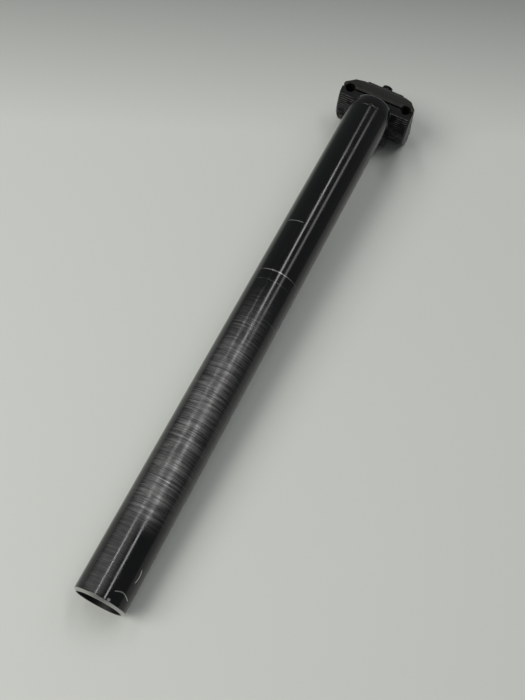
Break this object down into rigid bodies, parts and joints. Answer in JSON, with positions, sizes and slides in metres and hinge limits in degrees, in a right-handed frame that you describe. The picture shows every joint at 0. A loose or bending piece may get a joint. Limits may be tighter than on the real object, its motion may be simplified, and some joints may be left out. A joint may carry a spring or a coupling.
{
  "type": "seatpost",
  "caption": "Rigid black bicycle seatpost, round shank with an open chamfered end, toothed tilting head and a two-piece clamp for twin saddle rails.",
  "frame": {"origin": "on the axis of the shank, at the minimum insertion depth, 100 mm above the open end", "axes": "+Y along the shank towards the head, +Z out of the front of the post (the side that faces forward on the bicycle), +X across, towards the rider's left; the post lies on its back"},
  "size_m": [0.056, 0.4296, 0.0606],
  "materials": {
    "gloss_black_anodising": "gloss black, worn by circular scratches, bare at the open end",
    "black_casting": "gloss black",
    "black_clamp": "satin black with rubbed tooth tips",
    "worn_grey_clamp": "matt grey-brown",
    "bolt_steel": "dark oiled steel",
    "washer_steel": "plated steel"
  },
  "bodies": {
    "post": {"shank_tube": "gloss_black_anodising", "head_casting": "black_casting"},
    "cradle": {"rocker": "black_clamp", "curved_washer": "washer_steel", "flat_washer": "washer_steel"},
    "bolt": {"clamp_bolt": "bolt_steel"},
    "top_clamp": {"upper_clamp": "worn_grey_clamp", "nut_plate": "worn_grey_clamp"}
  },
  "joints": [
    {"name": "clamp_tilt", "type": "hinge", "parent": "post", "child": "cradle", "pos_m": [0, 0.3336, -0.012], "axis": [1, 0, 0], "range_deg": [-10, 8]},
    {"name": "bolt_turn", "type": "hinge", "parent": "cradle", "child": "bolt", "pos_m": [0, 0.3336, -0.012], "axis": [0, -0.9397, -0.342], "range_deg": [0, 1441]},
    {"name": "clamp_lift", "type": "slide", "parent": "cradle", "child": "top_clamp", "axis": [0, 0.9397, 0.342], "range_m": [0, 0.005]}
  ],
  "couplings": [
    {"joint": "bolt_turn", "follows": "clamp_lift", "rad_per_m": 5026.5}
  ]
}
